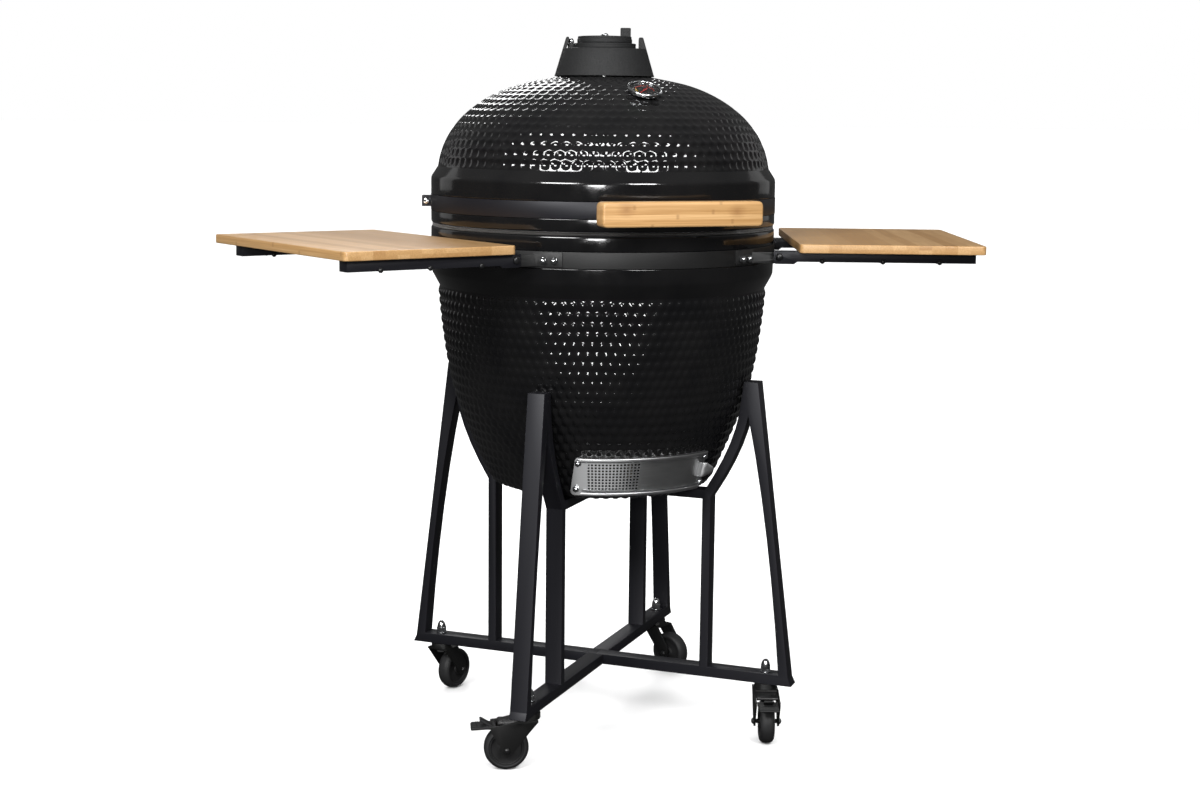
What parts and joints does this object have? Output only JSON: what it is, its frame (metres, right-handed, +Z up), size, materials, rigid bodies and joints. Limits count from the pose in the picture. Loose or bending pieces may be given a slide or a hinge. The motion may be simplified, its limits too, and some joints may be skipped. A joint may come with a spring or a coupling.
{
  "type": "kamado ceramic grill",
  "caption": "Egg-shaped ceramic charcoal grill with a hinged domed lid, top and bottom vents, folding side shelves and a wheeled four-legged stand.",
  "frame": {"origin": "centre of the footprint at floor level", "axes": "+X towards the grill's right-hand shelf as seen from the front, -Y out of the front, where the lid handle is, and +Z up"},
  "size_m": [1.3304, 0.795, 1.229],
  "materials": {
    "powder_coat": "satin black powder coat with a fine texture",
    "caster_steel": "gloss black painted pressed steel",
    "chrome": "polished chrome",
    "wheel_rubber": "dark grey rubber",
    "pedal_plastic": "matte black moulded plastic",
    "black_glaze": "glossy black glaze over a dimpled ceramic shell",
    "felt": "dark woven felt seal",
    "refractory": "unglazed buff refractory ceramic",
    "cast_iron": "matte black painted cast iron",
    "stainless": "brushed stainless steel",
    "spring_steel": "oiled spring steel",
    "bamboo": "laminated bamboo with a satin clear coat",
    "gauge_glass": "clear dial glass",
    "needle_red": "red painted pointer"
  },
  "bodies": {
    "stand": {"frame_front_left": "powder_coat", "frame_front_right": "powder_coat", "frame_rear_right": "powder_coat", "frame_rear_left": "powder_coat", "base_band": "powder_coat", "hinge_base_bracket": "powder_coat", "shelf_bracket_left_rear": "powder_coat", "shelf_bracket_left_front": "powder_coat", "shelf_bracket_right_front": "powder_coat", "shelf_bracket_right_rear": "powder_coat", "caster_bolt_front_left": "chrome", "caster_bolt_front_right": "chrome", "caster_bolt_rear_right": "chrome", "caster_bolt_rear_left": "chrome", "hinge_pin": "chrome", "ceramic_base": "black_glaze", "base_gasket": "felt", "fire_box": "refractory", "fire_ring": "refractory", "charcoal_grate": "cast_iron", "cooking_grate": "stainless", "draft_frame": "stainless", "draft_mesh": "stainless", "hinge_spring_left": "spring_steel", "hinge_spring_right": "spring_steel"},
    "lid": {"ceramic_lid": "black_glaze", "lid_gasket": "felt", "lid_band": "powder_coat", "lid_band_bolt": "chrome", "handle_bar": "bamboo", "handle_bracket_left": "stainless", "handle_bracket_right": "stainless", "thermometer_case": "chrome", "thermometer_lens": "gauge_glass", "vent_collar": "cast_iron", "vent_lug_pivot": "cast_iron", "vent_lug_far": "cast_iron", "vent_pivot_bolt": "chrome", "hinge_lid_bracket": "powder_coat"},
    "gauge_needle": {"thermometer_needle": "needle_red"},
    "vent_slide": {"vent_slide_disc": "cast_iron", "daisy_nut": "chrome"},
    "vent_cap": {"daisy_wheel": "cast_iron"},
    "draft_slider": {"draft_door": "stainless"},
    "shelf_left": {"shelf_board_left": "bamboo", "shelf_arm_left_rear": "powder_coat", "shelf_arm_left_front": "powder_coat"},
    "shelf_right": {"shelf_board_right": "bamboo", "shelf_arm_right_front": "powder_coat", "shelf_arm_right_rear": "powder_coat"},
    "fork_front_left": {"caster_fork_front_left": "caster_steel"},
    "wheel_front_left": {"caster_wheel_front_left": "wheel_rubber"},
    "pedal_front_left": {"brake_pedal_front_left": "pedal_plastic"},
    "fork_front_right": {"caster_fork_front_right": "caster_steel"},
    "wheel_front_right": {"caster_wheel_front_right": "wheel_rubber"},
    "pedal_front_right": {"brake_pedal_front_right": "pedal_plastic"},
    "fork_rear_right": {"caster_fork_rear_right": "caster_steel"},
    "wheel_rear_right": {"caster_wheel_rear_right": "wheel_rubber"},
    "fork_rear_left": {"caster_fork_rear_left": "caster_steel"},
    "wheel_rear_left": {"caster_wheel_rear_left": "wheel_rubber"}
  },
  "joints": [
    {"name": "lid_hinge", "type": "hinge", "parent": "stand", "child": "lid", "pos_m": [-0.00844, 0.38552, 0.891], "axis": [-1, 0, 0], "range_deg": [0, 70]},
    {"name": "gauge_needle_turn", "type": "hinge", "parent": "lid", "child": "gauge_needle", "pos_m": [-0.00844, -0.13948, 1.11695], "axis": [0, -0.424, 0.9056], "range_deg": [-270, 0]},
    {"name": "vent_slide_swing", "type": "hinge", "parent": "lid", "child": "vent_slide", "pos_m": [-0.06259, 0.06631, 1.197], "axis": [0, 0, 1], "range_deg": [0, 52]},
    {"name": "vent_cap_turn", "type": "hinge", "parent": "vent_slide", "child": "vent_cap", "pos_m": [-0.00844, 0.04552, 1.207], "axis": [0, 0, 1], "range_deg": [0, 36]},
    {"name": "draft_door_slide", "type": "hinge", "parent": "stand", "child": "draft_slider", "pos_m": [-0.00844, 0.04552, 0.481], "axis": [0, 0, 1], "range_deg": [-24.5, 0]},
    {"name": "shelf_left_fold", "type": "hinge", "parent": "stand", "child": "shelf_left", "pos_m": [-0.29559, -0.03034, 0.85], "axis": [0.2554, -0.9668, 0], "range_deg": [0, 90]},
    {"name": "shelf_right_fold", "type": "hinge", "parent": "stand", "child": "shelf_right", "pos_m": [0.26693, -0.06573, 0.85], "axis": [0.3746, 0.9272, 0], "range_deg": [0, 90]},
    {"name": "swivel_front_left", "type": "hinge", "parent": "stand", "child": "fork_front_left", "pos_m": [-0.2203, -0.18894, 0.09], "axis": [0, 0, 1], "continuous": true},
    {"name": "roll_front_left", "type": "hinge", "parent": "fork_front_left", "child": "wheel_front_left", "pos_m": [-0.257, -0.1791, 0.0375], "axis": [-0.2588, -0.9659, 0], "continuous": true},
    {"name": "pedal_front_left_press", "type": "hinge", "parent": "fork_front_left", "child": "pedal_front_left", "pos_m": [-0.27632, -0.17393, 0.074], "axis": [-0.2588, -0.9659, 0], "range_deg": [0, 12]},
    {"name": "swivel_front_right", "type": "hinge", "parent": "stand", "child": "fork_front_right", "pos_m": [0.22602, -0.16633, 0.09], "axis": [0, 0, 1], "continuous": true},
    {"name": "roll_front_right", "type": "hinge", "parent": "fork_front_right", "child": "wheel_front_right", "pos_m": [0.2124, -0.20181, 0.0375], "axis": [0.9336, -0.3584, 0], "continuous": true},
    {"name": "pedal_front_right_press", "type": "hinge", "parent": "fork_front_right", "child": "pedal_front_right", "pos_m": [0.20524, -0.22048, 0.074], "axis": [0.9336, -0.3584, 0], "range_deg": [0, 12]},
    {"name": "swivel_rear_right", "type": "hinge", "parent": "stand", "child": "fork_rear_right", "pos_m": [0.20341, 0.27999, 0.09], "axis": [0, 0, 1], "continuous": true},
    {"name": "roll_rear_right", "type": "hinge", "parent": "fork_rear_right", "child": "wheel_rear_right", "pos_m": [0.22125, 0.24644, 0.0375], "axis": [0.8829, 0.4695, 0], "continuous": true},
    {"name": "swivel_rear_left", "type": "hinge", "parent": "stand", "child": "fork_rear_left", "pos_m": [-0.24291, 0.25738, 0.09], "axis": [0, 0, 1], "continuous": true},
    {"name": "roll_rear_left", "type": "hinge", "parent": "fork_rear_left", "child": "wheel_rear_left", "pos_m": [-0.21197, 0.27945, 0.0375], "axis": [-0.5807, 0.8141, 0], "continuous": true}
  ]
}
